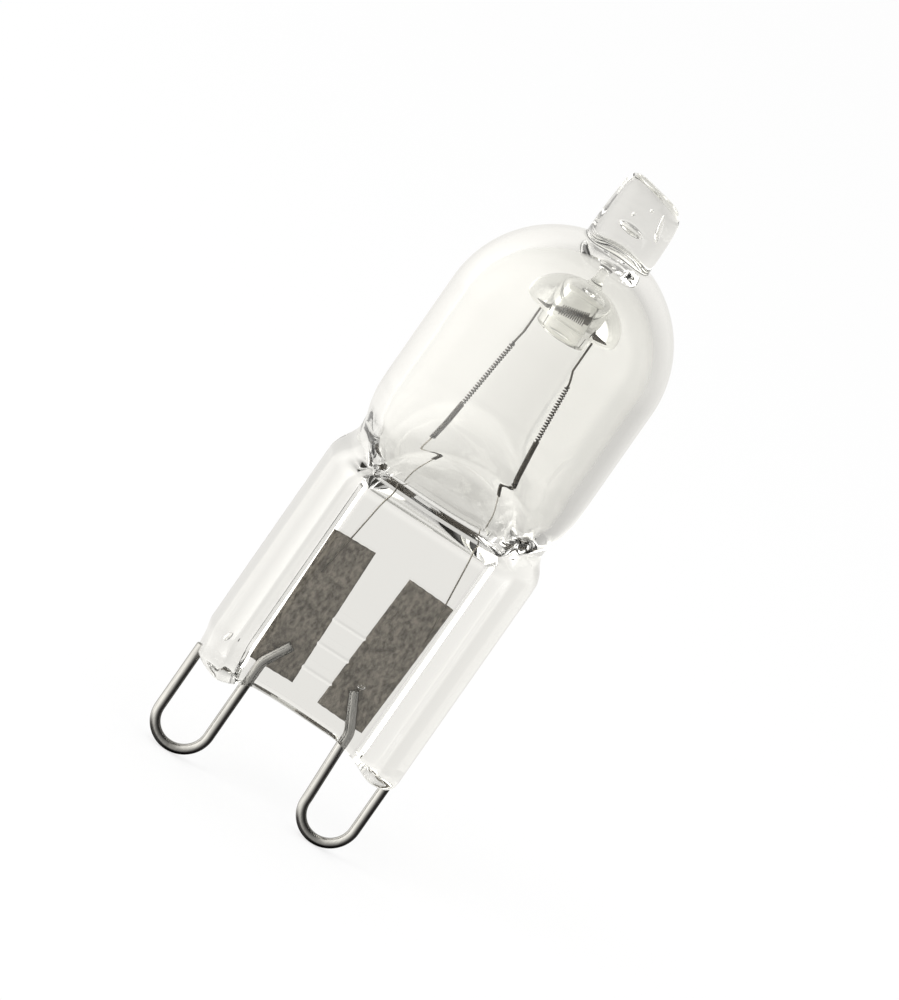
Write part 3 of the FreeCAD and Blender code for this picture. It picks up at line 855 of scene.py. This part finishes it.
def metal(name, colour, roughness, scale, stretch, depth, shade, metallic=1.0):
    """A metal whose grain varies its colour by the share shade, and its surface by depth in metres.

    Scale is the grains to a metre, and stretch below 1 draws them out along that axis.
    """
    material, tree, output = new_material(name)
    if tree is None:
        return material
    place = node(tree, "ShaderNodeTexCoord").outputs["Object"]
    stretched = node(tree, "ShaderNodeMapping", {"Scale": stretch}, {"Vector": place})
    grain = node(tree, "ShaderNodeTexNoise", {"Scale": scale, "Detail": 4.0, "Roughness": 0.6},
                 {"Vector": stretched.outputs[0]})
    base = linear(colour)
    dark = tuple(value * (1 - shade) for value in base[:3]) + (1.0,)
    light = tuple(min(value * (1 + shade), 1.0) for value in base[:3]) + (1.0,)
    # The noise keeps near its middle, so that part is spread over the whole range
    spread = node(tree, "ShaderNodeMapRange", {"From Min": 0.35, "From Max": 0.65},
                  {"Value": grain.outputs["Fac"]})
    # Sockets 6 and 7 of the Mix node are its two colours, and its third output is the mixed one
    tone = node(tree, "ShaderNodeMix", {"data_type": "RGBA", 6: dark, 7: light}, {0: spread.outputs[0]})
    bump = node(tree, "ShaderNodeBump", {"Strength": 0.4, "Distance": depth},
                {"Height": grain.outputs["Fac"]})
    body = node(tree, "ShaderNodeBsdfPrincipled", {"Metallic": metallic, "Roughness": roughness},
                {"Base Color": tone.outputs[2], "Normal": bump.outputs["Normal"]})
    tree.links.new(body.outputs[0], output.inputs["Surface"])
    return material


def bright_nickel():
    """Nickel wire, drawn: bright and smooth, with faint lines along it."""
    colours = bpy.context.scene.capsule_colours
    return metal("Drawn nickel wire", colours.nickel, roughness=0.2, scale=9000.0,
                 stretch=(1.0, 1.0, 0.08), depth=0.000004, shade=0.12)


def drawn_tungsten():
    """Tungsten wire, drawn and burnt in: dark grey with a dull sheen."""
    colours = bpy.context.scene.capsule_colours
    return metal("Tungsten wire", colours.tungsten, roughness=0.45, scale=20000.0,
                 stretch=(1.0, 1.0, 1.0), depth=0.000003, shade=0.2)


def drawn_molybdenum():
    """Molybdenum wire, drawn: grey with a dull sheen."""
    colours = bpy.context.scene.capsule_colours
    return metal("Molybdenum wire", colours.lead, roughness=0.35, scale=20000.0,
                 stretch=(1.0, 1.0, 0.1), depth=0.000003, shade=0.2)


def rolled_molybdenum():
    """Molybdenum foil, rolled and etched: brownish grey and mottled, with a dull metal sheen."""
    colours = bpy.context.scene.capsule_colours
    # The grain of the real foil is too fine to show, so it is drawn about a fifth of a millimetre wide
    return metal("Rolled molybdenum foil", colours.foil, roughness=0.42, scale=4600.0,
                 stretch=(1.0, 1.0, 0.6), depth=0.00009, shade=0.45, metallic=0.75)


# Stage

def profile(tree, source, stops, tint=(1.0, 1.0, 1.0)):
    """A run of brightness, with a tint, over a value from 0 to 1."""
    made = node(tree, "ShaderNodeValToRGB", {}, {0: source})
    ramp = made.color_ramp
    for index, (at, value) in enumerate(stops):
        stop = ramp.elements[index] if index < 2 else ramp.elements.new(at)
        stop.position = at
        stop.color = (value * tint[0], value * tint[1], value * tint[2], 1.0)
    return made.outputs[0]


# Brightness round the studio: from behind the camera by the left, the far side and the right back to it
REFLECTED_ROUND = [
    (0.0, 1.2), (0.026, 1.9), (0.109, 3.1), (0.175, 4.0), (0.237, 3.4), (0.317, 3.2), (0.359, 1.7),
    (0.47, 1.0), (0.581, 0.8), (0.664, 0.35), (0.72, 0.05), (0.8, 0.05), (0.887, 0.12), (0.942, 0.5),
    (1.0, 1.2),
]
REFRACTED_ROUND = [
    (0.0, 0.9), (0.1, 1.2), (0.15, 2.8), (0.3, 2.8), (0.36, 1.1), (0.442, 0.97), (0.503, 0.87),
    (0.548, 0.85), (0.623, 0.72), (0.692, 0.72), (0.776, 0.85), (0.887, 0.85), (1.0, 0.9),
]
# Its share from straight down to straight up
REFLECTED_UP = [(0.0, 0.04), (0.12, 0.06), (0.28, 1.0), (0.85, 1.0), (1.0, 0.6)]
REFRACTED_UP = [
    (0.0, 0.85), (0.2, 0.85), (0.37, 0.93), (0.396, 0.97), (0.42, 1.02), (0.5, 1.1), (0.7, 1.05),
    (0.875, 0.75), (1.0, 0.4),
]
LAMP_TINT = (1.0, 0.985, 0.955)
# A ramp's colours stay near 1, so the brightness is divided by these in it and multiplied again after it
ROUND_SHARE = 4.0
UP_SHARE = 2.0


def build_world(scene):
    """A bright studio, set once for the light that is mirrored and once for the light seen through glass."""
    world = bpy.data.worlds.new("Studio")
    scene.world = world
    world.use_nodes = True
    tree = world.node_tree
    tree.nodes.clear()
    output = tree.nodes.new("ShaderNodeOutputWorld")
    direction = node(tree, "ShaderNodeTexCoord").outputs["Generated"]
    parts = node(tree, "ShaderNodeSeparateXYZ", {}, {0: direction})
    heading = node(tree, "ShaderNodeMath", {"operation": "ARCTAN2"},
                   {0: parts.outputs[0], 1: parts.outputs[1]})
    turn = node(tree, "ShaderNodeMapRange", {"From Min": -math.pi, "From Max": math.pi},
                {"Value": heading.outputs[0]})
    level = node(tree, "ShaderNodeMapRange", {"From Min": -1.0, "From Max": 1.0}, {"Value": parts.outputs[2]})

    def studio(around, upward):
        colours = [(at, value / ROUND_SHARE) for at, value in around]
        shades = [(at, value / UP_SHARE) for at, value in upward]
        colour = profile(tree, turn.outputs[0], colours, LAMP_TINT)
        height = profile(tree, level.outputs[0], shades)
        strength = node(tree, "ShaderNodeMath", {"operation": "MULTIPLY", 1: ROUND_SHARE * UP_SHARE},
                        {0: height})
        return node(tree, "ShaderNodeBackground", {}, {"Color": colour, "Strength": strength.outputs[0]})

    reflected = studio(REFLECTED_ROUND, REFLECTED_UP)
    refracted = studio(REFRACTED_ROUND, REFRACTED_UP)
    plain = node(tree, "ShaderNodeBackground", {"Color": (1, 1, 1, 1), "Strength": 0.9})
    white = node(tree, "ShaderNodeBackground", {"Color": (1, 1, 1, 1), "Strength": 1.0})
    ray = node(tree, "ShaderNodeLightPath")
    shown = plain
    kinds = (("Is Glossy Ray", reflected), ("Is Transmission Ray", refracted), ("Is Camera Ray", white))
    for kind, light in kinds:
        shown = node(tree, "ShaderNodeMixShader", {},
                     {0: ray.outputs[kind], 1: shown.outputs[0], 2: light.outputs[0]})
    tree.links.new(shown.outputs[0], output.inputs["Surface"])


FLOOR_RADIUS = 1.5
# Share of plain white in what the camera sees of the floor
FLOOR_GLOW = 0.7


def build_floor(scene):
    """A white table, which takes the bulb's faint shadow."""
    bm = bmesh.new()
    bmesh.ops.create_circle(bm, cap_ends=True, segments=96, radius=FLOOR_RADIUS)
    mesh = bpy.data.meshes.new("floor")
    bm.to_mesh(mesh)
    bm.free()
    floor = bpy.data.objects.new("floor", mesh)
    scene.collection.objects.link(floor)
    material, tree, output = new_material("White table")
    ray = node(tree, "ShaderNodeLightPath")
    paint = node(tree, "ShaderNodeBsdfDiffuse", {"Color": linear(scene.capsule_colours.floor)})
    glow = node(tree, "ShaderNodeEmission", {"Color": (1, 1, 1, 1), "Strength": 1.0})
    share = node(tree, "ShaderNodeMath", {"operation": "MULTIPLY", 1: FLOOR_GLOW},
                 {0: ray.outputs["Is Camera Ray"]})
    mixed = node(tree, "ShaderNodeMixShader", {},
                 {0: share.outputs[0], 1: paint.outputs[0], 2: glow.outputs[0]})
    tree.links.new(mixed.outputs[0], output.inputs["Surface"])
    mesh.materials.append(material)
    floor.visible_transmission = False
    floor.visible_glossy = False


SENSOR_WIDTH = 36.0
PICTURE_HEIGHT = 1000
# Middle of the picture, in millimetres right of and above the point between the loops' feet
PICTURE_MIDDLE = (11.435, 16.0)
BULB_MIDDLE = 20


def build_camera(scene):
    """The photograph's view, long and nearly without perspective."""
    view = scene.capsule_view
    azimuth, elevation, roll = view.azimuth, view.elevation, view.roll
    back = Vector((math.sin(azimuth) * math.cos(elevation), -math.cos(azimuth) * math.cos(elevation),
                   math.sin(elevation)))
    level_right = Vector((math.cos(azimuth), math.sin(azimuth), 0))
    level_up = back.cross(level_right)
    right = level_right * math.cos(roll) + level_up * math.sin(roll)
    up = level_up * math.cos(roll) - level_right * math.sin(roll)
    camera = bpy.data.cameras.new("camera")
    camera.lens = view.lens
    camera.sensor_width = SENSOR_WIDTH
    height_mm = PICTURE_HEIGHT / view.pixels_per_mm
    distance = view.lens / SENSOR_WIDTH * height_mm * MM
    aim = (right * PICTURE_MIDDLE[0] + up * PICTURE_MIDDLE[1]) * MM
    middle = back.dot(Vector((0, 0, BULB_MIDDLE * MM)))
    holder = bpy.data.objects.new("camera", camera)
    scene.collection.objects.link(holder)
    holder.rotation_mode = "QUATERNION"
    turned = Matrix((right, up, back)).transposed()
    holder.rotation_quaternion = turned.to_quaternion()
    holder.location = aim + back * (distance + middle)
    camera.clip_start = 0.01
    camera.clip_end = 20.0
    scene.camera = holder


def build_lamp(scene):
    """A soft panel high on the left, which gives the floor its shadow."""
    light = bpy.data.lights.new("panel", "AREA")
    light.shape = "DISK"
    light.size = 0.25
    light.energy = 0.6
    lamp = bpy.data.objects.new("panel", light)
    scene.collection.objects.link(lamp)
    lamp.visible_glossy = False
    lamp.visible_transmission = False
    lamp.location = (-0.25, -0.25, 0.4)
    # It faces the bulb's middle
    lamp.rotation_mode = "QUATERNION"
    lamp.rotation_quaternion = Vector((-0.25, -0.25, 0.38)).to_track_quat("Z", "Y")


class CAPSULE_OT_stage(Operator):
    """Sets the floor, the studio light and the camera"""

    bl_idname = "capsule.stage"
    bl_label = "Stage"

    def execute(self, context):
        scene = context.scene
        scene.view_settings.view_transform = "Standard"
        build_world(scene)
        build_floor(scene)
        build_lamp(scene)
        build_camera(scene)
        return {"FINISHED"}


OPERATORS = (
    CAPSULE_OT_envelope,
    CAPSULE_OT_filament,
    CAPSULE_OT_contact_pins,
    CAPSULE_OT_foils,
    CAPSULE_OT_leads,
    CAPSULE_OT_stage,
)


class CAPSULE_PT_panel(Panel):
    bl_label = "Capsule Bulb"
    bl_idname = "CAPSULE_PT_panel"
    bl_space_type = "VIEW_3D"
    bl_region_type = "UI"
    bl_category = "Capsule Bulb"

    def draw(self, context):
        for group in (context.scene.capsule_glass, context.scene.capsule_wires,
                      context.scene.capsule_colours, context.scene.capsule_view):
            box = self.layout.box()
            for name in group.bl_rna.properties.keys():
                if name not in {"rna_type", "name"}:
                    box.prop(group, name)
        for operator in OPERATORS:
            self.layout.operator(operator.bl_idname)


GROUPS = {
    "capsule_glass": GlassSizes,
    "capsule_wires": WireSizes,
    "capsule_colours": FinishColours,
    "capsule_view": ViewSettings,
}


def register():
    for group in GROUPS.values():
        bpy.utils.register_class(group)
    for name, group in GROUPS.items():
        setattr(bpy.types.Scene, name, PointerProperty(type=group))
    for operator in OPERATORS:
        bpy.utils.register_class(operator)
    bpy.utils.register_class(CAPSULE_PT_panel)


def unregister():
    bpy.utils.unregister_class(CAPSULE_PT_panel)
    for operator in reversed(OPERATORS):
        bpy.utils.unregister_class(operator)
    for name in GROUPS:
        delattr(bpy.types.Scene, name)
    for group in reversed(GROUPS.values()):
        bpy.utils.unregister_class(group)


def main():
    register()
    for operator in OPERATORS:
        family, name = operator.bl_idname.split(".")
        getattr(getattr(bpy.ops, family), name)()


if __name__ == "__main__":
    main()
